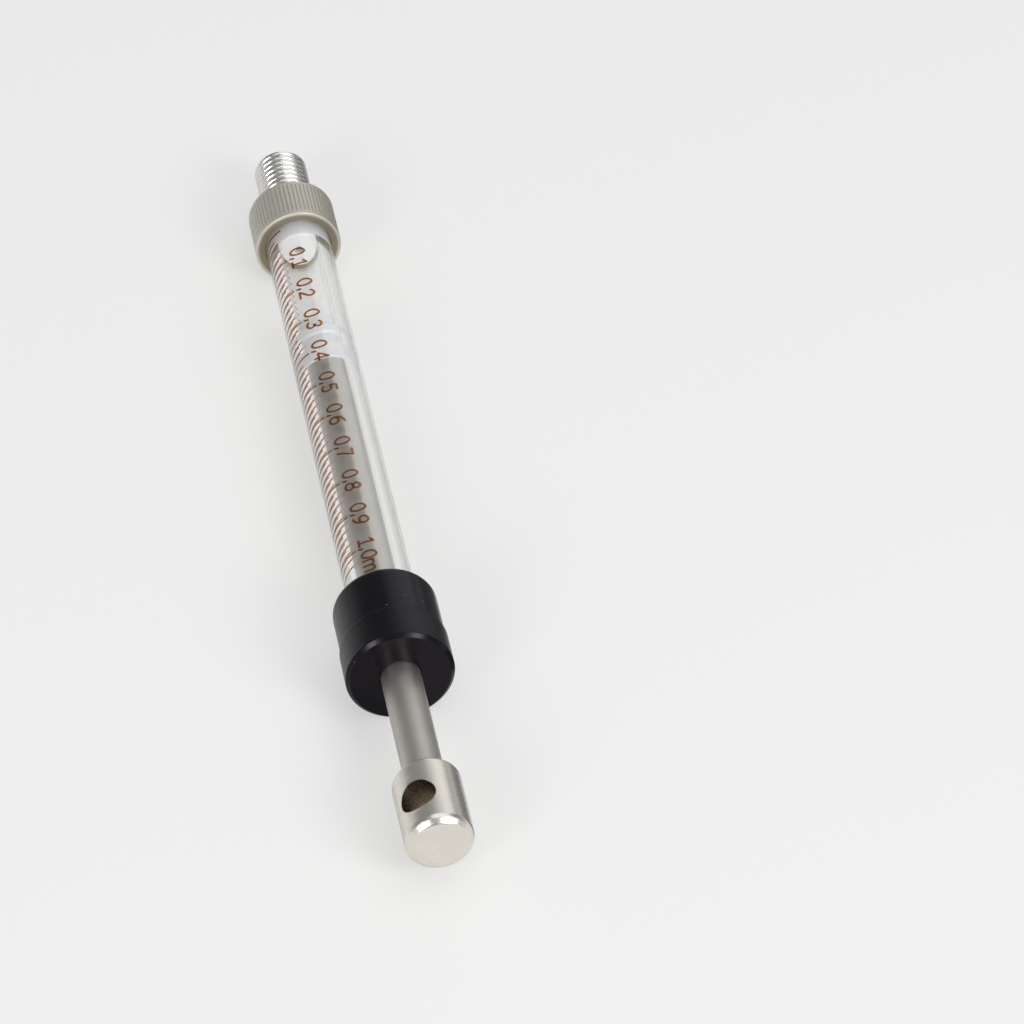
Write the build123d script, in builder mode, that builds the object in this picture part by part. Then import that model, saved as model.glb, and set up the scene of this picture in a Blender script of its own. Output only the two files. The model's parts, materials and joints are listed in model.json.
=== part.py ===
from build123d import *
import os
from math import atan, cos, pi, sin, sqrt

os.makedirs("parts", exist_ok=True)

# An instrument syringe with a threaded fluid port, lying on its collar and its cap.
# Lengths are in millimetres. A station is a distance along the syringe's own axis: 0 is the
# zero mark of the scale, and stations grow towards the plunger's head.

# Scale and barrel
FULL_VOLUME = 1000.0  # cubic millimetres at the last mark
SCALE_LENGTH = 60.0
BORE_RADIUS = sqrt(FULL_VOLUME / (pi * SCALE_LENGTH))
GLASS_RADIUS = 3.8
GLASS_FAR = -4.6
GLASS_NEAR = 75.6
GLASS_EDGE = 0.2

# Collar that grips the far end of the glass
COLLAR_RADIUS = 5.05
COLLAR_FAR = -7.0
COLLAR_NEAR = -0.5
COLLAR_FAR_EDGE = 0.15
COLLAR_NEAR_EDGE = 0.3
COLLAR_WALL_INSIDE = -5.6
COLLAR_BORE = 3.92

# Threaded stud, modelled at the crest of its thread
STUD_RADIUS = 3.1
STUD_END = -16.4
STUD_EDGE = 0.5
STUD_NECK_RADIUS = 2.85
STUD_NECK_FAR = -7.2
STUD_FLANGE_RADIUS = 3.7
STUD_FLANGE_FACE = -4.9
FLUID_RADIUS = 0.5

# Plug that closes the far end of the bore, pierced by the same fluid channel as the stud
PLUG_FLANGE_RADIUS = 3.7
PLUG_FACE = 1.0
PLUG_EDGE = 0.3

# Black sleeve on the open end of the glass
SLEEVE_RADIUS = 5.75
SLEEVE_FAR = 66.0
SLEEVE_ROUND = 1.0
SLEEVE_SHOULDER = 73.05
SLEEVE_SPIGOT = 4.9

# Screw cap
CAP_RADIUS = 5.95
CAP_FAR = 73.15
CAP_FACE = 78.0
CAP_FAR_EDGE = 0.1
CAP_FACE_EDGE = 0.42
CAP_BORE = 5.0
CAP_FLOOR = 76.25

# Plunger, drawn out to its rest station
SEAL_TIP = 16.2
SEAL_LENGTH = 8.5
SEAL_LIP = BORE_RADIUS - 0.01
SEAL_WAIST = 2.12
SEAL_EDGE = 0.25
ROD_RADIUS = 2.2
ROD_STEM = 1.2
ROD_BARB = 1.6
HEAD_RADIUS = 3.7
HEAD_FAR = 95.1
HEAD_FACE = 105.1
HEAD_FAR_ROUND = 0.6
HEAD_FACE_EDGE = 0.5
EYE_RADIUS = 2.05
EYE_STATION = 100.35
EYE_ANGLE = 30.4  # degrees round the axis from straight up

# Fits
RUNNING = 0.08  # rod in its guides
SNUG = 0.02  # pieces that are fixed together
STEM_PLAY = 0.03  # seal on the rod's stem

# The collar is slimmer than the cap, so the lying axis leans up towards the head.
lean = atan((CAP_RADIUS - COLLAR_RADIUS) / (CAP_FAR + CAP_FAR_EDGE - COLLAR_FAR - COLLAR_FAR_EDGE))
middle = (STUD_END + HEAD_FACE) / 2
zero_height = COLLAR_RADIUS * cos(lean) - (COLLAR_FAR + COLLAR_FAR_EDGE) * sin(lean)
zero_point = Vector(-middle * cos(lean), 0, zero_height)
along = Vector(cos(lean), 0, sin(lean))
syringe_axis = Axis(zero_point, along)
# Profiles are drawn on this plane as (station, radius).
profile_plane = Plane(origin=zero_point, x_dir=along, z_dir=(0, -1, 0))


def station_plane(station, towards_head=True):
    """The plane across the axis at a station, facing the head or the port."""
    facing = along if towards_head else -along
    return Plane(origin=zero_point + along * station, x_dir=(0, 1, 0), z_dir=facing)


# Glass barrel: a plain precision-bore tube
with BuildPart() as glass_barrel:
    with BuildSketch(station_plane(GLASS_FAR)):
        Circle(GLASS_RADIUS)
        Circle(BORE_RADIUS, mode=Mode.SUBTRACT)
    extrude(amount=GLASS_NEAR - GLASS_FAR)
    outer_rims = glass_barrel.edges().filter_by(GeomType.CIRCLE).group_by(SortBy.RADIUS)[-1]
    chamfer(outer_rims, GLASS_EDGE)
glass_barrel.part.label = "glass_barrel"
export_step(glass_barrel.part, "parts/glass_barrel.step")

# Threaded stud: a turned fitting with a thread relief at its neck, whose flange is trapped
# between the collar's wall and the plug
with BuildPart() as threaded_stud:
    with BuildSketch(profile_plane):
        with BuildLine():
            Polyline(
                (STUD_END, 0),
                (STUD_END, STUD_RADIUS),
                (STUD_NECK_FAR, STUD_RADIUS),
                (STUD_NECK_FAR, STUD_NECK_RADIUS),
                (COLLAR_WALL_INSIDE + SNUG, STUD_NECK_RADIUS),
                (COLLAR_WALL_INSIDE + SNUG, STUD_FLANGE_RADIUS),
                (STUD_FLANGE_FACE, STUD_FLANGE_RADIUS),
                (STUD_FLANGE_FACE, 0),
                close=True,
            )
        make_face()
    revolve(axis=syringe_axis)
    end_rim = threaded_stud.edges().filter_by(GeomType.CIRCLE).sort_by(syringe_axis)[0]
    chamfer(end_rim, STUD_EDGE)
    with Locations(station_plane(STUD_END, towards_head=False)):
        Hole(FLUID_RADIUS)
threaded_stud.part.label = "threaded_stud"
export_step(threaded_stud.part, "parts/threaded_stud.step")

# Knurled collar: a sleeve with a wall that holds the stud's flange
with BuildPart() as knurled_collar:
    with BuildSketch(station_plane(COLLAR_FAR)):
        Circle(COLLAR_RADIUS)
    extrude(amount=COLLAR_NEAR - COLLAR_FAR)
    collar_rims = knurled_collar.edges().filter_by(GeomType.CIRCLE).sort_by(syringe_axis)
    chamfer(collar_rims[0], COLLAR_FAR_EDGE)
    chamfer(collar_rims[-1], COLLAR_NEAR_EDGE)
    with Locations(station_plane(COLLAR_NEAR)):
        CounterBoreHole(
            radius=STUD_NECK_RADIUS + SNUG,
            counter_bore_radius=COLLAR_BORE,
            counter_bore_depth=COLLAR_NEAR - COLLAR_WALL_INSIDE,
        )
knurled_collar.part.label = "knurled_collar"
export_step(knurled_collar.part, "parts/knurled_collar.step")

# Port seal: a plug in the bore with a thin flange under the end of the glass
with BuildPart() as port_seal:
    with BuildSketch(profile_plane):
        with BuildLine():
            Polyline(
                (STUD_FLANGE_FACE + SNUG, 0),
                (STUD_FLANGE_FACE + SNUG, PLUG_FLANGE_RADIUS),
                (GLASS_FAR - SNUG, PLUG_FLANGE_RADIUS),
                (GLASS_FAR - SNUG, BORE_RADIUS - SNUG / 4),
                (PLUG_FACE, BORE_RADIUS - SNUG / 4),
                (PLUG_FACE, 0),
                close=True,
            )
        make_face()
    revolve(axis=syringe_axis)
    plug_rim = port_seal.edges().filter_by(GeomType.CIRCLE).sort_by(syringe_axis)[-1]
    chamfer(plug_rim, PLUG_EDGE)
    with Locations(station_plane(PLUG_FACE)):
        Hole(FLUID_RADIUS)
port_seal.part.label = "port_seal"
export_step(port_seal.part, "parts/port_seal.step")

# Collar cement: the thin ring that fills the gap between the glass and the collar
with BuildPart() as collar_cement:
    with BuildSketch(station_plane(GLASS_FAR + GLASS_EDGE)):
        Circle(COLLAR_BORE)
        Circle(GLASS_RADIUS, mode=Mode.SUBTRACT)
    extrude(amount=COLLAR_NEAR - COLLAR_NEAR_EDGE - GLASS_FAR - GLASS_EDGE)
collar_cement.part.label = "collar_cement"
export_step(collar_cement.part, "parts/collar_cement.step")

# End sleeve: a smooth sleeve bonded to the glass, with a threaded spigot for the cap
with BuildPart() as end_sleeve:
    with BuildSketch(profile_plane):
        with BuildLine():
            Polyline(
                (SLEEVE_FAR, GLASS_RADIUS + SNUG),
                (SLEEVE_FAR, SLEEVE_RADIUS),
                (SLEEVE_SHOULDER, SLEEVE_RADIUS),
                (SLEEVE_SHOULDER, SLEEVE_SPIGOT),
                (GLASS_NEAR, SLEEVE_SPIGOT),
                (GLASS_NEAR, GLASS_RADIUS + SNUG),
                close=True,
            )
        make_face()
    revolve(axis=syringe_axis)
    sleeve_rims = end_sleeve.edges().filter_by(GeomType.CIRCLE).group_by(SortBy.RADIUS)[-1]
    fillet(sleeve_rims.sort_by(syringe_axis)[0], SLEEVE_ROUND)
    chamfer(sleeve_rims.sort_by(syringe_axis)[-1], CAP_FAR_EDGE)
end_sleeve.part.label = "end_sleeve"
export_step(end_sleeve.part, "parts/end_sleeve.step")

# Guide washer: keeps the rod central and the seal inside the barrel
with BuildPart() as guide_washer:
    with BuildSketch(station_plane(GLASS_NEAR + SNUG)):
        Circle(CAP_BORE - RUNNING)
        Circle(ROD_RADIUS + RUNNING, mode=Mode.SUBTRACT)
    extrude(amount=CAP_FLOOR - GLASS_NEAR - 2 * SNUG)
guide_washer.part.label = "guide_washer"
export_step(guide_washer.part, "parts/guide_washer.step")

# Screw cap: a cup over the sleeve's spigot, with the rod's guide hole in its end
with BuildPart() as screw_cap:
    with BuildSketch(station_plane(CAP_FAR)):
        Circle(CAP_RADIUS)
    extrude(amount=CAP_FACE - CAP_FAR)
    cap_rims = screw_cap.edges().filter_by(GeomType.CIRCLE).sort_by(syringe_axis)
    chamfer(cap_rims[0], CAP_FAR_EDGE)
    chamfer(cap_rims[-1], CAP_FACE_EDGE)
    with Locations(station_plane(CAP_FAR, towards_head=False)):
        CounterBoreHole(
            radius=ROD_RADIUS + RUNNING,
            counter_bore_radius=CAP_BORE,
            counter_bore_depth=CAP_FLOOR - CAP_FAR,
        )
screw_cap.part.label = "screw_cap"
export_step(screw_cap.part, "parts/screw_cap.step")

# Piston seal: a flat-nosed plastic cup with two lips, snapped over the barb of the rod
NOSE_LENGTH = 2.0
FRONT_LIP_LENGTH = 1.2
WAIST_LENGTH = 1.6
LIP_RAMP = 0.35
BARB_TIP = SEAL_TIP + 2.6
BARB_SHOULDER = BARB_TIP + 1.2
seal_rear = SEAL_TIP + SEAL_LENGTH
front_lip = SEAL_TIP + NOSE_LENGTH + LIP_RAMP
waist = front_lip + FRONT_LIP_LENGTH + LIP_RAMP
rear_lip = waist + WAIST_LENGTH + LIP_RAMP
with BuildPart() as piston_seal:
    with BuildSketch(profile_plane):
        with BuildLine():
            Polyline(
                (SEAL_TIP, 0),
                (SEAL_TIP, SEAL_WAIST),
                (front_lip - LIP_RAMP, SEAL_WAIST),
                (front_lip, SEAL_LIP),
                (front_lip + FRONT_LIP_LENGTH, SEAL_LIP),
                (waist, SEAL_WAIST),
                (waist + WAIST_LENGTH, SEAL_WAIST),
                (rear_lip, SEAL_LIP),
                (seal_rear, SEAL_LIP),
                (seal_rear, ROD_STEM + STEM_PLAY),
                (BARB_SHOULDER + STEM_PLAY, ROD_STEM + STEM_PLAY),
                (BARB_SHOULDER + STEM_PLAY, ROD_BARB + STEM_PLAY),
                (BARB_TIP - STEM_PLAY, ROD_BARB + STEM_PLAY),
                (BARB_TIP - STEM_PLAY, 0),
                close=True,
            )
        make_face()
    revolve(axis=syringe_axis)
    seal_rims = piston_seal.edges().filter_by(GeomType.CIRCLE).sort_by(syringe_axis)
    chamfer(seal_rims[0], SEAL_EDGE)
piston_seal.part.label = "piston_seal"
export_step(piston_seal.part, "parts/piston_seal.step")

# Plunger rod: ground rod with a barbed stem at the seal and a plain spigot in the head
SPIGOT_RADIUS = 1.6
SPIGOT_LENGTH = 2.4
ROD_EDGE = 0.2
rod_far = seal_rear + STEM_PLAY
with BuildPart() as plunger_rod:
    with BuildSketch(profile_plane):
        with BuildLine():
            Polyline(
                (BARB_TIP, 0),
                (BARB_TIP, ROD_BARB),
                (BARB_SHOULDER, ROD_BARB),
                (BARB_SHOULDER, ROD_STEM),
                (rod_far, ROD_STEM),
                (rod_far, ROD_RADIUS),
                (HEAD_FAR - SNUG, ROD_RADIUS),
                (HEAD_FAR - SNUG, SPIGOT_RADIUS),
                (HEAD_FAR + SPIGOT_LENGTH, SPIGOT_RADIUS),
                (HEAD_FAR + SPIGOT_LENGTH, 0),
                close=True,
            )
        make_face()
    revolve(axis=syringe_axis)
    rod_rims = plunger_rod.edges().filter_by(GeomType.CIRCLE).group_by(SortBy.RADIUS)[-1]
    chamfer(rod_rims.sort_by(syringe_axis)[0], ROD_EDGE)
plunger_rod.part.label = "plunger_rod"
export_step(plunger_rod.part, "parts/plunger_rod.step")

# Plunger head: a turned knob with a cross hole, the eye, that takes a drive pin
eye_plane = Plane(
    origin=zero_point + along * EYE_STATION,
    x_dir=along,
    z_dir=profile_plane.y_dir.rotate(Axis((0, 0, 0), along), EYE_ANGLE),
)
with BuildPart() as plunger_head:
    with BuildSketch(station_plane(HEAD_FAR)):
        Circle(HEAD_RADIUS)
    extrude(amount=HEAD_FACE - HEAD_FAR)
    head_rims = plunger_head.edges().filter_by(GeomType.CIRCLE).sort_by(syringe_axis)
    fillet(head_rims[0], HEAD_FAR_ROUND)
    chamfer(head_rims[-1], HEAD_FACE_EDGE)
    with Locations(station_plane(HEAD_FAR, towards_head=False)):
        Hole(SPIGOT_RADIUS + SNUG / 2, depth=SPIGOT_LENGTH + SNUG)
    with Locations(eye_plane):
        Hole(EYE_RADIUS)
plunger_head.part.label = "plunger_head"
export_step(plunger_head.part, "parts/plunger_head.step")
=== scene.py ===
"""The looks of a graduated instrument syringe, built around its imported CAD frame.

Lengths are in millimetres until the last step, which makes metres of them. A station is a distance
along the syringe from the 0 mark of its scale, growing towards the plunger's head. A turn is an
angle round the axis in degrees, 0 straight up and growing towards -Y.
"""

import json
import math

import bmesh
import bpy
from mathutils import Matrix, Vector


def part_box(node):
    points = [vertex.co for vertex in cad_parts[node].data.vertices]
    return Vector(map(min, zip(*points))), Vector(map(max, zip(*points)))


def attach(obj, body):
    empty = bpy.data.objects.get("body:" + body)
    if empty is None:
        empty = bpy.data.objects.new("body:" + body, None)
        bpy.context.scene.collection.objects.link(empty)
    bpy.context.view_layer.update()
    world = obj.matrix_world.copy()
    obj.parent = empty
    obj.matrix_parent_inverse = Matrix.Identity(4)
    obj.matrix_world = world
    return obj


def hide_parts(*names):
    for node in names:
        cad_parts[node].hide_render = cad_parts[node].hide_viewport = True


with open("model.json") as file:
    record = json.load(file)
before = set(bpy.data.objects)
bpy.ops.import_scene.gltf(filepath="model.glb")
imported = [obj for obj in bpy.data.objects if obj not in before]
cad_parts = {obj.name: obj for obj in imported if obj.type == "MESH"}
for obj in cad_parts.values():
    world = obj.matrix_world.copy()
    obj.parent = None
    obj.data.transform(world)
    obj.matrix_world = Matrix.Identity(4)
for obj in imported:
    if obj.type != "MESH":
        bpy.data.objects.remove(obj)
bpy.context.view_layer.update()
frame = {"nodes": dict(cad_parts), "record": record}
nodes = frame["nodes"]
mounts = {mount["name"]: mount for mount in frame["record"]["mounts"]}

MM = 0.001

# ---------------------------------------------------------------------------------------------
# The syringe's axis and its driving dimensions
# ---------------------------------------------------------------------------------------------
HEAD_FACE = 105.1
along = Vector(mounts["head_face"]["axis"]).normalized()
zero_point = Vector(mounts["head_face"]["pos_m"]) - along * HEAD_FACE * MM
left = Vector((0, -1, 0))
upward = left.cross(along)
lean = math.atan2(along.z, along.x)


def stations(node):
    """The first and last station of a CAD node."""
    reached = [(corner.co - zero_point).dot(along) / MM for corner in nodes[node].data.vertices]
    return min(reached), max(reached)


def outer_radius(node):
    """The outer radius of a CAD node, which is turned about the axis."""
    low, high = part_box(node)
    return (high.y - low.y) / 2 / MM


FULL_VOLUME = 1000.0
SCALE_LENGTH = 60.0
BORE_RADIUS = math.sqrt(FULL_VOLUME / (math.pi * SCALE_LENGTH))
GLASS_RADIUS = outer_radius("glass_barrel")
GLASS_FAR, GLASS_NEAR = stations("glass_barrel")
PLUG_FACE = stations("port_seal")[1]
COLLAR_RADIUS = outer_radius("knurled_collar")
COLLAR_FAR, COLLAR_NEAR = stations("knurled_collar")
STUD_RADIUS = mounts["port_thread"]["dims"]["r_mm"]
STUD_END, STUD_FLANGE_FACE = stations("threaded_stud")
FLUID_RADIUS = mounts["fluid_port"]["dims"]["r_mm"]
SLEEVE_RADIUS = outer_radius("end_sleeve")
SLEEVE_FAR, SLEEVE_NEAR = stations("end_sleeve")
CAP_RADIUS = outer_radius("screw_cap")
CAP_FAR, CAP_FACE = stations("screw_cap")
SEAL_TIP, SEAL_REAR = stations("piston_seal")
ROD_RADIUS = outer_radius("plunger_rod")
HEAD_RADIUS = outer_radius("plunger_head")
HEAD_FAR = stations("plunger_head")[0]
EYE = mounts["drive_eye"]

# The gap between pieces that sit in or against each other, and the play of the rod in the cap
GAP = 0.02
RUNNING = 0.08


# ---------------------------------------------------------------------------------------------
# Shapes
# ---------------------------------------------------------------------------------------------
def place(station, radius=0.0, turn=0.0):
    """A point in metres, from its station, its distance from the axis and its turn."""
    angle = math.radians(turn)
    outward = upward * math.cos(angle) + left * math.sin(angle)
    return zero_point + along * (station * MM) + outward * (radius * MM)


def rounded(corners, closed=False, steps=6):
    """Points of an outline from (station, radius, rounding) corners, with an arc at each rounding."""
    points = []
    count = len(corners)
    for i, (station, radius, rounding) in enumerate(corners):
        corner = Vector((station, radius))
        at_end = not closed and i in (0, count - 1)
        if rounding == 0 or at_end:
            points.append(corner)
            continue
        back = (Vector(corners[i - 1][:2]) - corner).normalized()
        ahead = (Vector(corners[(i + 1) % count][:2]) - corner).normalized()
        half = back.angle(ahead) / 2
        centre = corner + (back + ahead).normalized() * (rounding / math.sin(half))
        first = corner + back * (rounding / math.tan(half)) - centre
        last = corner + ahead * (rounding / math.tan(half)) - centre
        sweep = first.angle_signed(last)
        for step in range(steps + 1):
            angle = -sweep * step / steps
            spun = Vector(
                (
                    first.x * math.cos(angle) - first.y * math.sin(angle),
                    first.x * math.sin(angle) + first.y * math.cos(angle),
                )
            )
            points.append(centre + spun)
    return [(point.x, point.y) for point in points]


def filled(points, step):
    """The same outline with points added, so that none are further apart than a step in station."""
    dense = [points[0]]
    for (s0, r0), (s1, r1) in zip(points, points[1:]):
        pieces = max(1, math.ceil(abs(s1 - s0) / step))
        for i in range(1, pieces + 1):
            dense.append((s0 + (s1 - s0) * i / pieces, r0 + (r1 - r0) * i / pieces))
    return dense


# How far from the end of a straight the point lies that holds its shading
HOLD = 0.03


def held(points, closed):
    """The same outline with a point close to both ends of each straight, so that it shades true."""
    dense = []
    ends = points[1:] + points[:1] if closed else points[1:]
    for start, end in zip(points, ends):
        first, last = Vector(start), Vector(end)
        dense.append(start)
        length = (last - first).length
        if length > 4 * HOLD:
            dense += [tuple(first.lerp(last, HOLD / length)), tuple(last.lerp(first, HOLD / length))]
    if not closed:
        dense.append(points[-1])
    return dense


def turned(name, outline, segments=192, closed=False, cut=None, sharp=40):
    """A turned piece from its outline of (station, radius) points.

    cut gives how deep the surface lies under the outline at a station, a radius and a turn. Its
    depth is kept in the attribute "groove".
    """
    shape = bmesh.new()
    groove = shape.verts.layers.float.new("groove")
    rings = []
    for station, radius in held(outline, closed):
        if radius < 1e-6:
            rings.append([shape.verts.new(place(station))])
            continue
        ring = []
        for i in range(segments):
            turn = 360 * i / segments
            depth = cut(station, radius, turn) if cut else 0.0
            vertex = shape.verts.new(place(station, radius - depth, turn))
            vertex[groove] = depth
            ring.append(vertex)
        rings.append(ring)
    pairs = list(zip(rings, rings[1:]))
    if closed:
        pairs.append((rings[-1], rings[0]))
    for first, second in pairs:
        for i in range(segments):
            j = (i + 1) % segments
            corners = [
                first[i % len(first)],
                second[i % len(second)],
                second[j % len(second)],
                first[j % len(first)],
            ]
            corners = list(dict.fromkeys(corners))
            if len(corners) > 2:
                shape.faces.new(corners)
    bmesh.ops.recalc_face_normals(shape, faces=shape.faces)
    return finished(name, shape, sharp)


def finished(name, shape, sharp):
    """A smooth-shaded object from a bmesh, with edges sharper than an angle kept sharp."""
    mesh = bpy.data.meshes.new(name)
    shape.to_mesh(mesh)
    shape.free()
    mesh.shade_smooth()
    mesh.set_sharp_from_angle(angle=math.radians(sharp))
    piece = bpy.data.objects.new(name, mesh)
    bpy.context.scene.collection.objects.link(piece)
    return piece


def fit_out(piece, material, body, slot, *replaced):
    """Gives a new piece its material and its body, and hides the CAD nodes it stands for. The slot is
    not used.
    """
    piece.data.materials.append(material)
    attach(piece, body)
    if replaced:
        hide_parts(*replaced)
    return piece


# ---------------------------------------------------------------------------------------------
# Materials
# ---------------------------------------------------------------------------------------------
def feed(tree, socket, value):
    """Links a socket to another one, or sets it to a constant."""
    if isinstance(value, bpy.types.NodeSocket):
        tree.links.new(value, socket)
    else:
        socket.default_value = value


def mixed_colour(tree, factor, first, second):
    """A colour between two by a factor, where each may be a socket or a constant."""
    mixed = tree.nodes.new("ShaderNodeMix")
    mixed.data_type = "RGBA"
    for socket, value in ((0, factor), (6, first), (7, second)):
        feed(tree, mixed.inputs[socket], value)
    return mixed.outputs[2]


class Finish:
    """A material with a Principled shader, and short calls for the nodes before it."""

    def __init__(self, name, **settings):
        self.material = bpy.data.materials.new(name)
        self.material.use_nodes = True
        self.tree = self.material.node_tree
        self.shader = self.tree.nodes["Principled BSDF"]
        for socket, value in settings.items():
            self.shader.inputs[socket.replace("_", " ")].default_value = value
        self.position = self._position()

    def node(self, kind, inputs=(), **settings):
        """A new node. inputs are (socket, value) pairs, where a value may be another socket."""
        made = self.tree.nodes.new("ShaderNode" + kind)
        for setting, value in settings.items():
            setattr(made, setting, value)
        for socket, value in inputs:
            self.feed(made.inputs[socket], value)
        return made

    def feed(self, socket, value):
        """Links a socket of this material, or sets it to a constant."""
        feed(self.tree, socket, value)

    def _position(self):
        """The place on the syringe in millimetres: X is the station, Z is up, Y is across."""
        coordinates = self.node("TexCoord").outputs["Object"]
        turned_back = self.node(
            "Mapping",
            [
                ("Vector", coordinates),
                ("Location", zero_point),
                ("Rotation", (0, -lean, 0)),
                ("Scale", (MM, MM, MM)),
            ],
            vector_type="TEXTURE",
        )
        return turned_back.outputs["Vector"]

    def stretched(self, x, y, z):
        """The place with each of its directions scaled."""
        scaled = self.node("VectorMath", [(0, self.position), (1, (x, y, z))], operation="MULTIPLY")
        return scaled.outputs["Vector"]

    def noise(self, scale, detail=3.0, vector=None, roughness=0.55):
        """A noise with this many cells per millimetre."""
        made = self.node(
            "TexNoise",
            [
                ("Vector", vector or self.position),
                ("Scale", scale),
                ("Detail", detail),
                ("Roughness", roughness),
            ],
        )
        return made.outputs["Fac"]

    def spread(self, value, low, high, to_low, to_high):
        """Maps a value from low..high to to_low..to_high, and clamps it."""
        made = self.node(
            "MapRange",
            [(0, value), (1, low), (2, high), (3, to_low), (4, to_high)],
        )
        return made.outputs[0]

    def between(self, factor, first, second):
        """A colour between two, by a factor."""
        return mixed_colour(self.tree, factor, first, second)

    def relief(self, height, depth, strength):
        """Bumps the surface by a height of 0 to 1 over this many millimetres."""
        made = self.node(
            "Bump", [("Height", height), ("Distance", depth * MM), ("Strength", strength)]
        )
        self.feed(self.shader.inputs["Normal"], made.outputs["Normal"])


def rgb(red, green, blue):
    """A colour with full alpha."""
    return (red, green, blue, 1.0)


def grey(value):
    """A grey with full alpha."""
    return rgb(value, value, value)


def clear_glass():
    """Polished borosilicate glass. Shadow rays and diffuse rays pass straight through it."""
    finish = Finish("clear_glass", Roughness=0.0, IOR=1.474, Transmission_Weight=1.0)
    tint = finish.noise(0.15, 2.0)
    colour = finish.between(tint, rgb(0.985, 0.992, 0.990), rgb(0.992, 0.994, 0.992))
    finish.feed(finish.shader.inputs["Base Color"], colour)
    draw_lines = finish.noise(1.0, 2.0, finish.stretched(0.02, 1.6, 1.6))
    finish.relief(draw_lines, 0.004, 0.25)
    paths = finish.node("LightPath")
    clear = finish.node("BsdfTransparent", [("Color", rgb(0.94, 0.94, 0.935))])
    surface = finish.shader.outputs[0]
    for kind in ("Is Shadow Ray", "Is Diffuse Ray"):
        inputs = [(0, paths.outputs[kind]), (1, surface), (2, clear.outputs[0])]
        surface = finish.node("MixShader", inputs).outputs[0]
    finish.feed(finish.tree.nodes["Material Output"].inputs["Surface"], surface)
    return finish.material


def in_grooves(deep):
    """A share of painted shade that grows to 1 where the attribute "groove" reaches a depth."""

    def share(finish):
        depth = finish.node("Attribute", attribute_name="groove").outputs["Fac"]
        return finish.spread(depth, 0.2 * deep, deep, 0.0, 1.0)

    return share


def round_axis(full, unshaded):
    """A share of painted shade that is 1 within a radius round the syringe's axis, and 0 outside a
    larger one.
    """

    def share(finish):
        radius = finish.node("VectorMath", [(0, finish.stretched(0, 1, 1))], operation="LENGTH")
        return finish.spread(radius.outputs["Value"], full, unshaded, 1.0, 0.0)

    return share


def on_hole_wall(hole):
    """A share of painted shade that is 1 on the wall of a mount's hole."""
    across, up = Vector(hole["axis"]).dot(-left), Vector(hole["axis"]).dot(upward)
    station = (Vector(hole["pos_m"]) - zero_point).dot(along) / MM
    radius = hole["dims"]["r_mm"]

    def share(finish):
        from_middle = [(0, finish.position), (1, (station, 0, 0))]
        away = finish.node("VectorMath", from_middle, operation="SUBTRACT").outputs["Vector"]
        along_hole = [(0, away), (1, (0, across, up))]
        arm = finish.node("VectorMath", along_hole, operation="CROSS_PRODUCT").outputs["Vector"]
        length = finish.node("VectorMath", [(0, arm)], operation="LENGTH").outputs["Value"]
        return finish.spread(length, radius + 0.02, radius + 0.08, 1.0, 0.0)

    return share


def turned_metal(name, colour, dark, roughness, marks, *painted_shades):
    """Metal with fine turning marks round the axis and faint tarnish.

    Each painted shade is a share and the darker colour that the metal takes where that share is 1:
    shade painted into grooves, round a bore or on a hole's wall.
    """
    finish = Finish(name, Metallic=1.0)
    lines = finish.noise(1.0, 4.0, finish.stretched(marks, 0.25, 0.25), 0.7)
    tarnish = finish.spread(finish.noise(0.35, 4.0), 0.35, 0.75, 0.0, 0.6)
    shade = finish.between(tarnish, colour, dark)
    # Painted shade: each share darkens the metal to its own colour where shade falls.
    for share, shaded_colour in painted_shades:
        shade = finish.between(share(finish), shade, shaded_colour)
    finish.feed(finish.shader.inputs["Base Color"], shade)
    rough = finish.spread(lines, 0.3, 0.7, roughness * 0.92, roughness * 1.08)
    finish.feed(finish.shader.inputs["Roughness"], rough)
    finish.relief(lines, 0.0008, 0.10)
    return finish.material


def plastic(name, colour, other, roughness, grain, relief, **settings):
    """Moulded or turned plastic with a faint mottle and a fine grain."""
    finish = Finish(name, **settings)
    mottle = finish.noise(0.5, 4.0)
    finish.feed(
        finish.shader.inputs["Base Color"],
        finish.between(finish.spread(mottle, 0.3, 0.7, 0.0, 1.0), colour, other),
    )
    fine = finish.noise(grain, 3.0)
    rough = finish.spread(fine, 0.3, 0.7, roughness * 0.85, roughness * 1.2)
    finish.feed(finish.shader.inputs["Roughness"], rough)
    finish.relief(fine, relief, 0.4)
    return finish


def black_plastic():
    """Black acetal with dust specks."""
    finish = plastic(
        "black_plastic",
        rgb(0.0024, 0.0018, 0.0034),
        rgb(0.0042, 0.0034, 0.0054),
        0.22,
        6.0,
        0.0006,
        Specular_IOR_Level=0.20,
        Specular_Tint=rgb(0.97, 0.90, 1.0),
    )
    dust = finish.node("TexVoronoi", [("Vector", finish.position), ("Scale", 0.5)])
    speck = finish.spread(dust.outputs["Distance"], 0.02, 0.06, 0.25, 0.0)
    base = finish.shader.inputs["Base Color"]
    dusty = finish.between(speck, base.links[0].from_socket, rgb(0.5, 0.48, 0.46))
    finish.feed(base, dusty)
    return finish.material


INK_PASSES = 0.68


def fired_ink():
    """Thin brown stain fired into the glass, of which a share lets orange light through."""
    brown, dark_brown = rgb(0.085, 0.036, 0.008), rgb(0.060, 0.026, 0.005)
    finish = plastic("scale_print", dark_brown, brown, 0.45, 8.0, 0.001)
    orange = finish.node("BsdfTransparent", [("Color", rgb(0.85, 0.46, 0.07))])
    inputs = [(0, INK_PASSES), (1, finish.shader.outputs[0]), (2, orange.outputs[0])]
    mixed = finish.node("MixShader", inputs)
    finish.feed(finish.tree.nodes["Material Output"].inputs["Surface"], mixed.outputs[0])
    return finish.material


# How deep the cuts are in whose grooves the metals get painted shade
COLLAR_KNURL_DEPTH = 0.06
THREAD_DEPTH = 0.22

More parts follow.
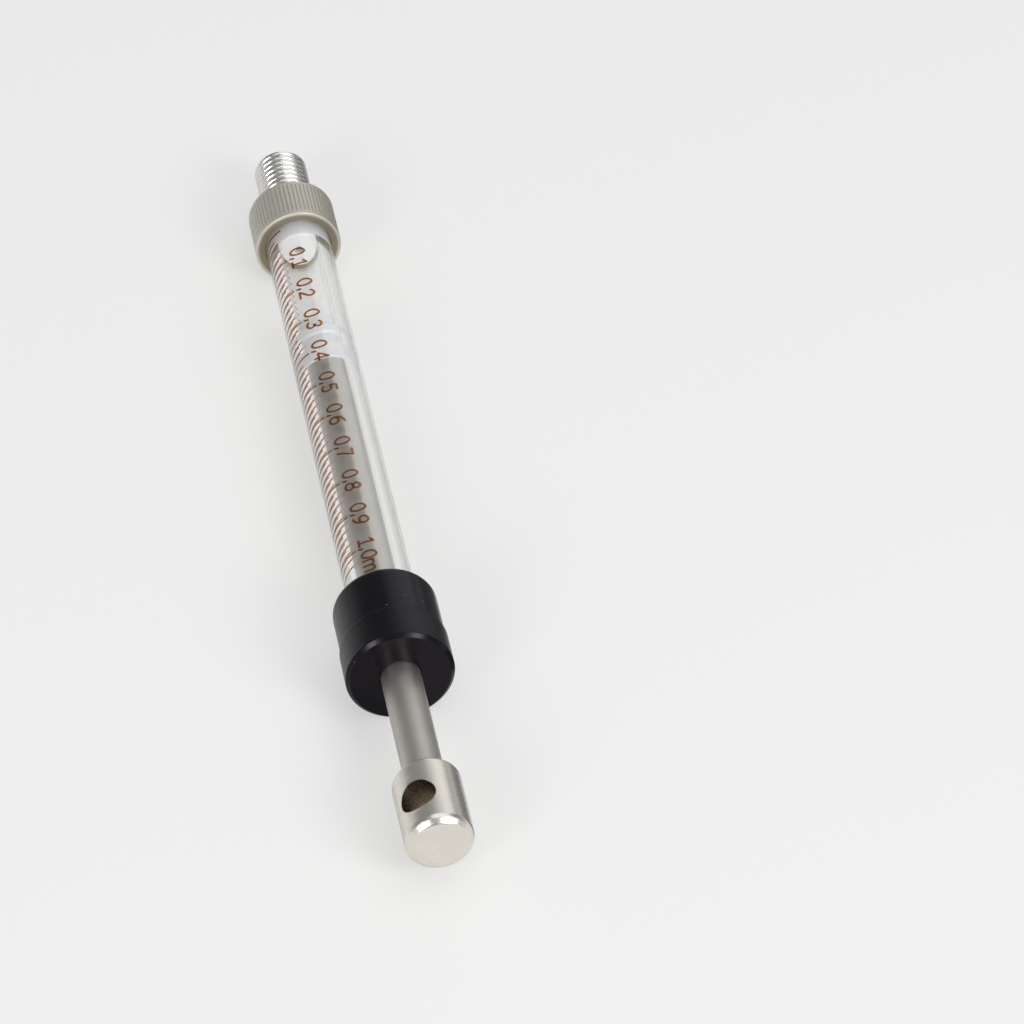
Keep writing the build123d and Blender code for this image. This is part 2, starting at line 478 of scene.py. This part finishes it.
glass = clear_glass()
bright_steel = turned_metal(
    "bright_steel",
    rgb(0.84, 0.83, 0.80),
    rgb(0.72, 0.71, 0.67),
    0.22,
    6.0,
    # Painted shade: the thread's roots are darker.
    (in_grooves(THREAD_DEPTH), rgb(0.52, 0.50, 0.47)),
)
nickel = turned_metal(
    "nickel_plate",
    rgb(0.66, 0.64, 0.58),
    rgb(0.59, 0.57, 0.51),
    0.58,
    3.0,
    # Painted shade: the knurl's grooves are darker.
    (in_grooves(COLLAR_KNURL_DEPTH), rgb(0.45, 0.43, 0.365)),
    # Painted shade: the collar's face is darker round the bore, where it meets the glass.
    (round_axis(COLLAR_RADIUS - 0.5, COLLAR_RADIUS - 0.2), rgb(0.29, 0.26, 0.19)),
)
rod_steel = turned_metal("rod_steel", rgb(0.55, 0.53, 0.495), rgb(0.49, 0.47, 0.43), 0.46, 9.0)
head_steel = turned_metal(
    "head_steel",
    rgb(0.78, 0.75, 0.69),
    rgb(0.71, 0.68, 0.62),
    0.27,
    9.0,
    # Painted shade: the wall of the cross hole is dark brown.
    (on_hole_wall(EYE), rgb(0.36, 0.31, 0.255)),
)
white_plastic = plastic(
    "white_plastic",
    rgb(0.76, 0.78, 0.81),
    rgb(0.81, 0.825, 0.85),
    0.38,
    4.0,
    0.006,
    Subsurface_Weight=0.15,
    Subsurface_Scale=0.0008,
).material
black = black_plastic()
cement = plastic("cement", rgb(0.12, 0.10, 0.08), rgb(0.22, 0.19, 0.15), 0.5, 5.0, 0.01).material
ink = fired_ink()

# ---------------------------------------------------------------------------------------------
# Barrel
# ---------------------------------------------------------------------------------------------
GLASS_EDGE = 0.2
tube = turned(
    "glass_tube",
    rounded(
        [
            (GLASS_FAR, BORE_RADIUS, 0.1),
            (GLASS_FAR, GLASS_RADIUS, GLASS_EDGE),
            (GLASS_NEAR, GLASS_RADIUS, GLASS_EDGE),
            (GLASS_NEAR, BORE_RADIUS, 0.1),
        ],
        closed=True,
    ),
    segments=256,
    closed=True,
)
fit_out(tube, glass, "barrel", "clear_glass", "glass_barrel")

PLUG_FLANGE_RADIUS = 3.7
PLUG_EDGE = 0.3
# What presses on the bore goes a hair into the glass, so that no air film is left between them
WETTED_RADIUS = BORE_RADIUS + 0.003
plug = turned(
    "plug_body",
    rounded(
        [
            (STUD_FLANGE_FACE + GAP, FLUID_RADIUS, 0),
            (STUD_FLANGE_FACE + GAP, PLUG_FLANGE_RADIUS, 0.05),
            (GLASS_FAR - GAP, PLUG_FLANGE_RADIUS, 0.05),
            (GLASS_FAR - GAP, WETTED_RADIUS, 0),
            (PLUG_FACE, WETTED_RADIUS, PLUG_EDGE),
            (PLUG_FACE, FLUID_RADIUS, 0.05),
        ],
        closed=True,
    ),
    closed=True,
)
fit_out(plug, white_plastic, "barrel", "white_plastic", "port_seal")

# Stud: a 1/4-28 thread cut into the crest cylinder, which runs out at the neck. The crest is the
# share of the pitch that stays flat, and each pitch is drawn in this many steps.
THREAD_PITCH = 25.4 / 28
THREAD_CREST = 0.55
THREAD_STEPS = 14
THREAD_RUNOUT = 0.8 * THREAD_PITCH
STUD_NECK_RADIUS = 2.85
STUD_NECK_FAR = -7.2
STUD_EDGE = 0.5
COLLAR_WALL_INSIDE = -5.6


def thread_cut(station, radius, turn):
    """How deep a right-hand thread with flat crests and rounded roots lies below the crest."""
    if radius < STUD_NECK_RADIUS or station > STUD_NECK_FAR:
        return 0.0
    phase = (station / THREAD_PITCH - turn / 360) % 1
    rise = abs(2 * phase - 1)
    flank = min(1, max(0, (rise - THREAD_CREST) / (1 - THREAD_CREST)))
    form = 0.5 - 0.5 * math.cos(math.pi * flank)
    runout = min(1, (STUD_NECK_FAR - station) / THREAD_RUNOUT)
    root = STUD_RADIUS - THREAD_DEPTH * form * runout
    return max(0.0, radius - root)


stud_side = filled(
    rounded(
        [
            (STUD_END, STUD_RADIUS - STUD_EDGE, 0.1),
            (STUD_END + STUD_EDGE, STUD_RADIUS, 0.05),
            (STUD_NECK_FAR, STUD_RADIUS, 0.05),
            (STUD_NECK_FAR + 0.05, STUD_NECK_RADIUS, 0.05),
            (COLLAR_WALL_INSIDE + GAP, STUD_NECK_RADIUS, 0),
        ]
    ),
    THREAD_PITCH / THREAD_STEPS,
)
stud = turned(
    "stud_with_thread",
    [(STUD_FLANGE_FACE, FLUID_RADIUS), (STUD_END, FLUID_RADIUS)]
    + stud_side
    + [(COLLAR_WALL_INSIDE + GAP, PLUG_FLANGE_RADIUS), (STUD_FLANGE_FACE, PLUG_FLANGE_RADIUS)],
    closed=True,
    cut=thread_cut,
    sharp=50,
)
fit_out(stud, bright_steel, "barrel", "bright_steel", "threaded_stud")

# Collar: straight knurl between two plain bands
COLLAR_TEETH = 62
COLLAR_KNURL = (COLLAR_FAR + 0.45, COLLAR_NEAR - 0.6)
COLLAR_BORE = 3.92
COLLAR_NEAR_EDGE = 0.14
KNURL_RAMP = 0.12
KNURL_SKIN = 0.06


def knurl_cut(teeth, depth, band, surface):
    """The depth of a straight knurl with rounded ridges and narrow grooves.

    It lies inside a band of stations, and only where the outline is at the outer surface's radius.
    """

    def cut(station, radius, turn):
        if radius <= surface - KNURL_SKIN:
            return 0.0
        inside = min(station - band[0], band[1] - station) / KNURL_RAMP
        share = min(1.0, max(0.0, inside))
        wave = abs(math.sin(math.pi * teeth * turn / 360))
        return depth * share * (1 - wave) ** 1.3

    return cut


collar_outline = filled(
    rounded(
        [
            (COLLAR_FAR, STUD_NECK_RADIUS + GAP, 0),
            (COLLAR_FAR, COLLAR_RADIUS, 0.15),
            (COLLAR_NEAR, COLLAR_RADIUS, COLLAR_NEAR_EDGE),
            (COLLAR_NEAR, COLLAR_BORE, 0.05),
            (COLLAR_WALL_INSIDE, COLLAR_BORE, 0),
            (COLLAR_WALL_INSIDE, STUD_NECK_RADIUS + GAP, 0),
        ],
        closed=True,
    ),
    KNURL_RAMP,
)
collar = turned(
    "collar_with_knurl",
    collar_outline,
    segments=COLLAR_TEETH * 12,
    closed=True,
    cut=knurl_cut(COLLAR_TEETH, COLLAR_KNURL_DEPTH, COLLAR_KNURL, COLLAR_RADIUS),
    sharp=60,
)
fit_out(collar, nickel, "barrel", "nickel_plate", "knurled_collar")

# Sleeve: smooth, with a generously rounded far edge and the spigot that the cap screws on
SLEEVE_ROUND = 1.0
SLEEVE_SHOULDER = 73.05
SLEEVE_SPIGOT = 4.9
sleeve = turned(
    "sleeve_body",
    rounded(
        [
            (SLEEVE_FAR, GLASS_RADIUS + GAP, 0),
            (SLEEVE_FAR, SLEEVE_RADIUS, SLEEVE_ROUND),
            (SLEEVE_SHOULDER, SLEEVE_RADIUS, 0.1),
            (SLEEVE_SHOULDER, SLEEVE_SPIGOT, 0),
            (SLEEVE_NEAR, SLEEVE_SPIGOT, 0.1),
            (SLEEVE_NEAR, GLASS_RADIUS + GAP, 0),
        ],
        closed=True,
        steps=10,
    ),
    closed=True,
)
fit_out(sleeve, black, "barrel", "black_plastic", "end_sleeve")

# ---------------------------------------------------------------------------------------------
# Cap
# ---------------------------------------------------------------------------------------------
CAP_TEETH = 120
CAP_KNURL_DEPTH = 0.015
CAP_KNURL = (CAP_FAR + 0.15, CAP_FACE - 0.55)
CAP_FACE_EDGE = 0.42
CAP_BORE = 5.0
CAP_FLOOR = 76.25
cap = turned(
    "cap_with_knurl",
    filled(
        rounded(
            [
                (CAP_FAR, CAP_BORE, 0),
                (CAP_FAR, CAP_RADIUS, 0.2),
                (CAP_FACE - CAP_FACE_EDGE, CAP_RADIUS, 0.12),
                (CAP_FACE, CAP_RADIUS - CAP_FACE_EDGE, 0.12),
                (CAP_FACE, ROD_RADIUS + RUNNING, 0.1),
                (CAP_FLOOR, ROD_RADIUS + RUNNING, 0),
                (CAP_FLOOR, CAP_BORE, 0),
            ],
            closed=True,
        ),
        KNURL_RAMP,
    ),
    segments=CAP_TEETH * 8,
    closed=True,
    cut=knurl_cut(CAP_TEETH, CAP_KNURL_DEPTH, CAP_KNURL, CAP_RADIUS),
    sharp=60,
)
fit_out(cap, black, "cap", "black_plastic", "screw_cap")

# ---------------------------------------------------------------------------------------------
# Piston seal, rod and head
# ---------------------------------------------------------------------------------------------
SEAL_WAIST = 2.12
NOSE_LENGTH = 2.0
LIP_RAMP = 0.35
FRONT_LIP_LENGTH = 1.2
WAIST_LENGTH = 1.6
ROD_STEM = 1.2
ROD_BARB = 1.6
STEM_PLAY = 0.03
BARB_TIP = SEAL_TIP + 2.6
BARB_SHOULDER = BARB_TIP + 1.2
front_lip = SEAL_TIP + NOSE_LENGTH + LIP_RAMP
waist = front_lip + FRONT_LIP_LENGTH + LIP_RAMP
rear_lip = waist + WAIST_LENGTH + LIP_RAMP
seal = turned(
    "seal_body",
    rounded(
        [
            (SEAL_TIP, 0, 0),
            (SEAL_TIP, SEAL_WAIST, 0.25),
            (front_lip - LIP_RAMP, SEAL_WAIST, 0.15),
            (front_lip, WETTED_RADIUS, 0.15),
            (front_lip + FRONT_LIP_LENGTH, WETTED_RADIUS, 0.15),
            (waist, SEAL_WAIST, 0.15),
            (waist + WAIST_LENGTH, SEAL_WAIST, 0.15),
            (rear_lip, WETTED_RADIUS, 0.15),
            (SEAL_REAR, WETTED_RADIUS, 0.08),
            (SEAL_REAR, ROD_STEM + STEM_PLAY, 0),
            (BARB_SHOULDER + STEM_PLAY, ROD_STEM + STEM_PLAY, 0),
            (BARB_SHOULDER + STEM_PLAY, ROD_BARB + STEM_PLAY, 0),
            (BARB_TIP - STEM_PLAY, ROD_BARB + STEM_PLAY, 0),
            (BARB_TIP - STEM_PLAY, 0, 0),
        ]
    ),
)
fit_out(seal, white_plastic, "seal", "white_plastic", "piston_seal")

SPIGOT_RADIUS = 1.6
SPIGOT_PLAY = 0.01
SPIGOT_LENGTH = 2.4
ROD_FAR = SEAL_REAR + STEM_PLAY
rod = turned(
    "rod_body",
    rounded(
        [
            (BARB_TIP, 0, 0),
            (BARB_TIP, ROD_BARB, 0.1),
            (BARB_SHOULDER, ROD_BARB, 0.1),
            (BARB_SHOULDER, ROD_STEM, 0),
            (ROD_FAR, ROD_STEM, 0),
            (ROD_FAR, ROD_RADIUS, 0.2),
            (HEAD_FAR - GAP, ROD_RADIUS, 0.05),
            (HEAD_FAR - GAP, SPIGOT_RADIUS, 0),
            (HEAD_FAR + SPIGOT_LENGTH, SPIGOT_RADIUS, 0.2),
            (HEAD_FAR + SPIGOT_LENGTH, 0, 0),
        ]
    ),
)
fit_out(rod, rod_steel, "plunger", "rod_steel", "plunger_rod")

HEAD_FAR_ROUND = 0.6
HEAD_FACE_EDGE = 0.75
EYE_EDGE = 0.14
# Points closer than this are one point, and a point this close to the drill lies on its wall
MERGED = 0.002
ON_WALL = 0.01


def head_blank():
    """The head before its cross hole is drilled."""
    return turned(
        "head_body",
        filled(
            rounded(
                [
                    (HEAD_FAR + SPIGOT_LENGTH + GAP, 0, 0),
                    (HEAD_FAR + SPIGOT_LENGTH + GAP, SPIGOT_RADIUS + SPIGOT_PLAY, 0),
                    (HEAD_FAR, SPIGOT_RADIUS + SPIGOT_PLAY, 0),
                    (HEAD_FAR, HEAD_RADIUS, HEAD_FAR_ROUND),
                    (HEAD_FACE - HEAD_FACE_EDGE, HEAD_RADIUS, HEAD_FACE_EDGE),
                    (HEAD_FACE, HEAD_RADIUS - HEAD_FACE_EDGE, HEAD_FACE_EDGE),
                    (HEAD_FACE, 0, 0),
                ]
            ),
            1.0,
        ),
    )


def drilled(piece, middle, direction, radius, edge):
    """Drills a round hole through a piece and eases its edges."""
    bpy.ops.mesh.primitive_cylinder_add(vertices=96, radius=radius, depth=4 * HEAD_RADIUS * MM)
    drill = bpy.context.object
    drill.rotation_mode = "QUATERNION"
    drill.rotation_quaternion = direction.to_track_quat("Z", "X")
    drill.location = middle
    cut = piece.modifiers.new("hole", "BOOLEAN")
    cut.operation = "DIFFERENCE"
    cut.solver = "EXACT"
    cut.object = drill
    evaluated = piece.evaluated_get(bpy.context.evaluated_depsgraph_get())
    shape = bmesh.new()
    shape.from_mesh(evaluated.to_mesh())
    evaluated.to_mesh_clear()
    bpy.data.objects.remove(drill)
    piece.modifiers.clear()
    bmesh.ops.remove_doubles(shape, verts=shape.verts, dist=MERGED * MM)

    def from_drill(vertex):
        away = vertex.co - middle
        return abs((away - direction * away.dot(direction)).length - radius) < ON_WALL * MM

    rim = [
        e
        for e in shape.edges
        if len(e.link_faces) == 2
        and e.calc_face_angle() > math.radians(25)
        and all(from_drill(v) for v in e.verts)
    ]
    bmesh.ops.bevel(
        shape, geom=rim, offset=edge * MM, segments=3, profile=0.5, affect="EDGES", clamp_overlap=True
    )
    shape.to_mesh(piece.data)
    shape.free()
    piece.data.shade_smooth()
    piece.data.set_sharp_from_angle(angle=math.radians(35))
    return piece


head = drilled(
    head_blank(),
    Vector(EYE["pos_m"]),
    Vector(EYE["axis"]).normalized(),
    EYE["dims"]["r_mm"] * MM,
    EYE_EDGE,
)
fit_out(head, head_steel, "plunger", "head_steel", "plunger_head")

# ---------------------------------------------------------------------------------------------
# Scale: enamel strips just under the outer surface of the glass
# ---------------------------------------------------------------------------------------------
INK_TOP = GLASS_RADIUS - 0.008
INK_BOTTOM = GLASS_RADIUS - 0.014
LINE_WIDTH = 0.28
FIGURE_STROKE = 0.30
FIGURE_HEIGHT = 1.70
FIGURE_WIDTH = 1.15
FIGURE_TURN = 13.5
MAJOR_TURNS = (36.4, 132.0)
MINOR_TURNS = (54.0, 132.0)
MAJORS = 10
MINORS = 5
MAJOR_STEP = SCALE_LENGTH / MAJORS
INK_PIECE = 0.12


def strip(shape, path, width, closed=False):
    """Adds a flat strip of ink along a path of (station, arc length) points on the glass.

    An arc length is measured round the glass from the top. The strip's open ends are round.
    """
    centres = [Vector(point) for point in path]
    dense = []
    ends = centres[1:] + centres[:1] if closed else centres[1:]
    for start, end in zip(centres, ends):
        pieces = max(1, math.ceil((end - start).length / INK_PIECE))
        dense += [start.lerp(end, i / pieces) for i in range(pieces)]
    if not closed:
        dense.append(centres[-1])
    count = len(dense)
    rows = []
    for i, centre in enumerate(dense):
        before = dense[i - 1] if closed or i > 0 else centre
        after = dense[(i + 1) % count] if closed or i < count - 1 else centre
        heading = (after - before).normalized()
        rows.append((centre, heading, width / 2))
    if not closed:
        steps = (0.35, 0.7, 0.97)
        for at_start in (True, False):
            centre, heading, half = rows[0] if at_start else rows[-1]
            way = -heading if at_start else heading
            for share in steps:
                row = (centre + way * half * share, heading, half * math.sqrt(1 - share * share))
                if at_start:
                    rows.insert(0, row)
                else:
                    rows.append(row)
    made = []
    for centre, heading, half in rows:
        side = Vector((-heading.y, heading.x)) * half
        corners = []
        for edge in (centre + side, centre - side):
            turn = math.degrees(edge.y / GLASS_RADIUS)
            corners += [
                shape.verts.new(place(edge.x, INK_TOP, turn)),
                shape.verts.new(place(edge.x, INK_BOTTOM, turn)),
            ]
        made.append(corners)
    following = made[1:] + made[:1] if closed else made[1:]
    for (a_top, a_low, b_top, b_low), (c_top, c_low, d_top, d_low) in zip(made, following):
        shape.faces.new((a_top, c_top, d_top, b_top))
        shape.faces.new((a_low, b_low, d_low, c_low))
        shape.faces.new((a_top, a_low, c_low, c_top))
        shape.faces.new((b_top, d_top, d_low, b_low))
    if not closed:
        for a_top, a_low, b_top, b_low in (made[0], made[-1]):
            shape.faces.new((a_top, b_top, b_low, a_low))


def arc(x, y, wide, high, start, end, steps=18):
    """Points of an ellipse's arc, from a start to an end angle in degrees."""
    angles = [math.radians(start + (end - start) * i / steps) for i in range(steps + 1)]
    return [(x + wide * math.cos(a), y + high * math.sin(a)) for a in angles]


# Each figure is a list of (closed, points) strokes in a box 1 high, about its middle line. A 0 is
# drawn this wide.
DRAWN_WIDTH = 0.64
OVAL = arc(0, 0.5, DRAWN_WIDTH / 2, 0.5, 0, 360, 40)[:-1]
FIGURES = {
    "0": [(True, OVAL)],
    "1": [(False, [(-0.24, 0.78), (0.04, 1.0), (0.04, 0.0)]), (False, [(-0.24, 0.0), (0.32, 0.0)])],
    "2": [(False, arc(0, 0.71, 0.29, 0.29, 160, -35) + [(-0.30, 0.0), (0.32, 0.0)])],
    "3": [(False, arc(-0.02, 0.75, 0.27, 0.25, 150, -90) + arc(-0.02, 0.26, 0.32, 0.26, 90, -150))],
    "4": [(False, [(0.14, 0.0), (0.14, 1.0), (-0.34, 0.28), (0.34, 0.28)])],
    "5": [
        (
            False,
            [(0.27, 1.0), (-0.22, 1.0), (-0.24, 0.58)] + arc(-0.02, 0.31, 0.32, 0.31, 115, -145),
        )
    ],
    "6": [
        (True, arc(0.01, 0.30, 0.31, 0.30, 0, 360, 32)[:-1]),
        (False, arc(0.24, 0.30, 0.54, 0.70, 180, 92, 14)),
    ],
    "7": [(False, [(-0.31, 1.0), (0.31, 1.0), (-0.10, 0.0)])],
    "8": [
        (True, arc(0, 0.76, 0.25, 0.24, -90, 270, 30)[:-1]),
        (True, arc(0, 0.27, 0.31, 0.27, 90, 450, 32)[:-1]),
    ],
    "9": [
        (True, arc(-0.01, 0.70, 0.31, 0.30, 0, 360, 32)[:-1]),
        (False, arc(-0.24, 0.70, 0.54, 0.70, 0, -88, 14)),
    ],
    "m": [
        (False, [(-0.48, 0.0), (-0.48, 0.68)]),
        (False, arc(-0.24, 0.46, 0.24, 0.22, 180, 0, 12) + [(0.0, 0.0)]),
        (False, arc(0.24, 0.46, 0.24, 0.22, 180, 0, 12) + [(0.48, 0.0)]),
    ],
    "l": [(False, [(0.0, 1.0), (0.0, 0.0)])],
    ",": [(False, [(0.05, 0.13), (-0.04, -0.10)])],
}


def figure(shape, sign, station):
    """Adds one figure with its middle at a station, its foot at the larger turn."""
    foot = math.radians(FIGURE_TURN) * GLASS_RADIUS + FIGURE_HEIGHT / 2
    wide = FIGURE_WIDTH / DRAWN_WIDTH
    for closed, points in FIGURES[sign]:
        path = [(station + x * wide, foot - y * FIGURE_HEIGHT) for x, y in points]
        strip(shape, path, FIGURE_STROKE, closed)


def scale_lines():
    """The lines of the scale, every 0.02 ml, with a longer one at every 0.1 ml."""
    shape = bmesh.new()
    for i in range(MAJORS * MINORS + 1):
        turns = MAJOR_TURNS if i % MINORS == 0 else MINOR_TURNS
        path = [(i * MAJOR_STEP / MINORS, math.radians(turn) * GLASS_RADIUS) for turn in turns]
        strip(shape, path, LINE_WIDTH)
    return finished("scale_lines", shape, 30)


# Where the signs stand, from the station of their line
FIRST_SIGN = -0.85
COMMA_SIGN = 0.15
SECOND_SIGN = 1.35
M_SIGN = 3.15
L_SIGN = 4.6


def scale_figures():
    """The figures 0,1 to 0,9 and 1,0 ml beside the longer lines."""
    shape = bmesh.new()
    for i in range(1, MAJORS + 1):
        station = i * MAJOR_STEP
        whole, tenth = divmod(i, MAJORS)
        figure(shape, str(whole), station + FIRST_SIGN)
        figure(shape, ",", station + COMMA_SIGN)
        figure(shape, str(tenth), station + SECOND_SIGN)
    figure(shape, "m", SCALE_LENGTH + M_SIGN)
    figure(shape, "l", SCALE_LENGTH + L_SIGN)
    return finished("scale_figures", shape, 30)


for print_piece in (scale_lines(), scale_figures()):
    fit_out(print_piece, ink, "barrel", "scale_print")

# ---------------------------------------------------------------------------------------------
# CAD nodes that stay
# ---------------------------------------------------------------------------------------------
for node, material in (("collar_cement", cement), ("guide_washer", white_plastic)):
    nodes[node].data.materials.clear()
    nodes[node].data.materials.append(material)


# ---------------------------------------------------------------------------------------------
# Floor, light and camera
# ---------------------------------------------------------------------------------------------
def seen_or_lit(tree, seen, lit):
    """A colour that the camera sees directly, and another one for all other light."""
    paths = tree.nodes.new("ShaderNodeLightPath")
    return mixed_colour(tree, paths.outputs["Is Camera Ray"], lit, seen)


def staged_sheet(name, corners):
    """A flat sheet with four corners that belongs to the studio and not to the syringe."""
    mesh = bpy.data.meshes.new(name)
    mesh.from_pydata(corners, [], [(0, 1, 2, 3)])
    sheet = bpy.data.objects.new(name, mesh)
    bpy.context.scene.collection.objects.link(sheet)
    return sheet


FLOOR_HALF = 2.0
floor = staged_sheet(
    "floor", [(x * FLOOR_HALF, y * FLOOR_HALF, 0) for x, y in ((-1, -1), (1, -1), (1, 1), (-1, 1))]
)
floor_material = bpy.data.materials.new("pale_floor")
floor_material.use_nodes = True
floor_shader = floor_material.node_tree.nodes["Principled BSDF"]
floor_shader.inputs["Roughness"].default_value = 0.9
floor_shader.inputs["Specular IOR Level"].default_value = 0.1
floor_tree = floor_material.node_tree
floor_colour = seen_or_lit(floor_tree, rgb(0.36, 0.36, 0.358), rgb(0.84, 0.835, 0.825))
floor_glow = seen_or_lit(floor_tree, rgb(0.50, 0.50, 0.497), grey(0.0))
floor_tree.links.new(floor_colour, floor_shader.inputs["Base Color"])
floor_tree.links.new(floor_glow, floor_shader.inputs["Emission Color"])
floor_shader.inputs["Emission Strength"].default_value = 1.0
floor.data.materials.append(floor_material)

CARD_COLOUR = rgb(0.14, 0.14, 0.145)


def dark_card(name, corners):
    """A dark card that only mirrors see."""
    card = staged_sheet(name, corners)
    material = bpy.data.materials.new(name)
    material.use_nodes = True
    material.node_tree.nodes["Principled BSDF"].inputs["Base Color"].default_value = CARD_COLOUR
    card.data.materials.append(material)
    for ray in ("camera", "diffuse", "transmission", "shadow"):
        setattr(card, "visible_" + ray, False)


# Painted shadow: a dark card low beside the syringe, seen only in mirrors, puts the floor's shadow
# into the metal's reflections.
dark_card(
    "floor_shadow_card",
    [(-0.16, 0.012, 0.0004), (0.06, 0.012, 0.0004), (0.03, 0.060, 0.006), (-0.16, 0.060, 0.024)],
)
dark_card(
    "card_behind_camera",
    [(0.95, -0.32, 0.28), (1.00, 0.02, 0.28), (0.90, 0.02, 0.85), (0.85, -0.32, 0.85)],
)

# The room is pale to the camera, dim as a light, and darker overhead in mirrors and through glass
ROOM_SEEN = 0.85
ROOM_LIGHT = 0.28
ROOM_AT_HORIZON = 0.75
ROOM_OVERHEAD = 0.27
OVERHEAD_FROM = 0.35
world = bpy.data.worlds.new("studio")
bpy.context.scene.world = world
world.use_nodes = True
world_tree = world.node_tree
world_direction = world_tree.nodes.new("ShaderNodeTexCoord")
world_height = world_tree.nodes.new("ShaderNodeSeparateXYZ")
world_ramp = world_tree.nodes.new("ShaderNodeMapRange")
world_tree.links.new(world_direction.outputs["Generated"], world_height.inputs[0])
world_tree.links.new(world_height.outputs["Z"], world_ramp.inputs[0])
for socket, value in ((1, 0.0), (2, OVERHEAD_FROM), (3, ROOM_AT_HORIZON), (4, ROOM_OVERHEAD)):
    world_ramp.inputs[socket].default_value = value
world_paths = world_tree.nodes.new("ShaderNodeLightPath")
world_colour = seen_or_lit(world_tree, grey(ROOM_SEEN), grey(ROOM_LIGHT))
for kind in ("Is Glossy Ray", "Is Transmission Ray"):
    is_kind = world_paths.outputs[kind]
    world_colour = mixed_colour(world_tree, is_kind, world_colour, world_ramp.outputs[0])
world_tree.links.new(world_colour, world_tree.nodes["Background"].inputs["Color"])


def softbox(name, middle, target, width, height, radiance):
    """A rectangular lamp that faces a target. Its power is four times its radiance times its area."""
    lamp = bpy.data.lights.new(name, "AREA")
    lamp.shape = "RECTANGLE"
    lamp.size = width
    lamp.size_y = height
    lamp.energy = 4 * radiance * width * height
    holder = bpy.data.objects.new(name, lamp)
    holder.location = middle
    holder.rotation_euler = (Vector(target) - Vector(middle)).to_track_quat("-Z", "Y").to_euler()
    holder.visible_camera = False
    bpy.context.scene.collection.objects.link(holder)


softbox("top", (0.0, 0.2, 1.0), (0.0, 0.1, 0.0), 1.5, 1.0, 0.68)
softbox("back_right", (-1.45, 0.62, 0.85), (0.0, 0.0, 0.0), 1.1, 0.8, 0.60)
softbox("front_right", (0.62, 0.38, 0.46), (0.0, 0.0, 0.0), 0.40, 0.26, 9.0)
softbox("front_left", (0.84, -0.68, 0.53), (0.0, 0.0, 0.0), 0.36, 0.38, 9.0)

CAMERA_PLACE = Vector((0.479726, -0.064175, 0.402327))
CAMERA_TARGET = Vector((0.00125, 0.01758, 0.0))
CAMERA_LENS = 197.344
camera_data = bpy.data.cameras.new("camera")
camera_data.lens = CAMERA_LENS
camera_data.sensor_width = 36.0
camera_data.clip_start = 0.05
camera_data.clip_end = 20.0
camera = bpy.data.objects.new("camera", camera_data)
camera.location = CAMERA_PLACE
camera.rotation_euler = (CAMERA_TARGET - CAMERA_PLACE).to_track_quat("-Z", "Y").to_euler()
bpy.context.scene.collection.objects.link(camera)
bpy.context.scene.camera = camera

scene = bpy.context.scene
scene.view_settings.view_transform = "Standard"
scene.cycles.max_bounces = 20
scene.cycles.transmission_bounces = 18
scene.cycles.glossy_bounces = 10
scene.cycles.transparent_max_bounces = 24
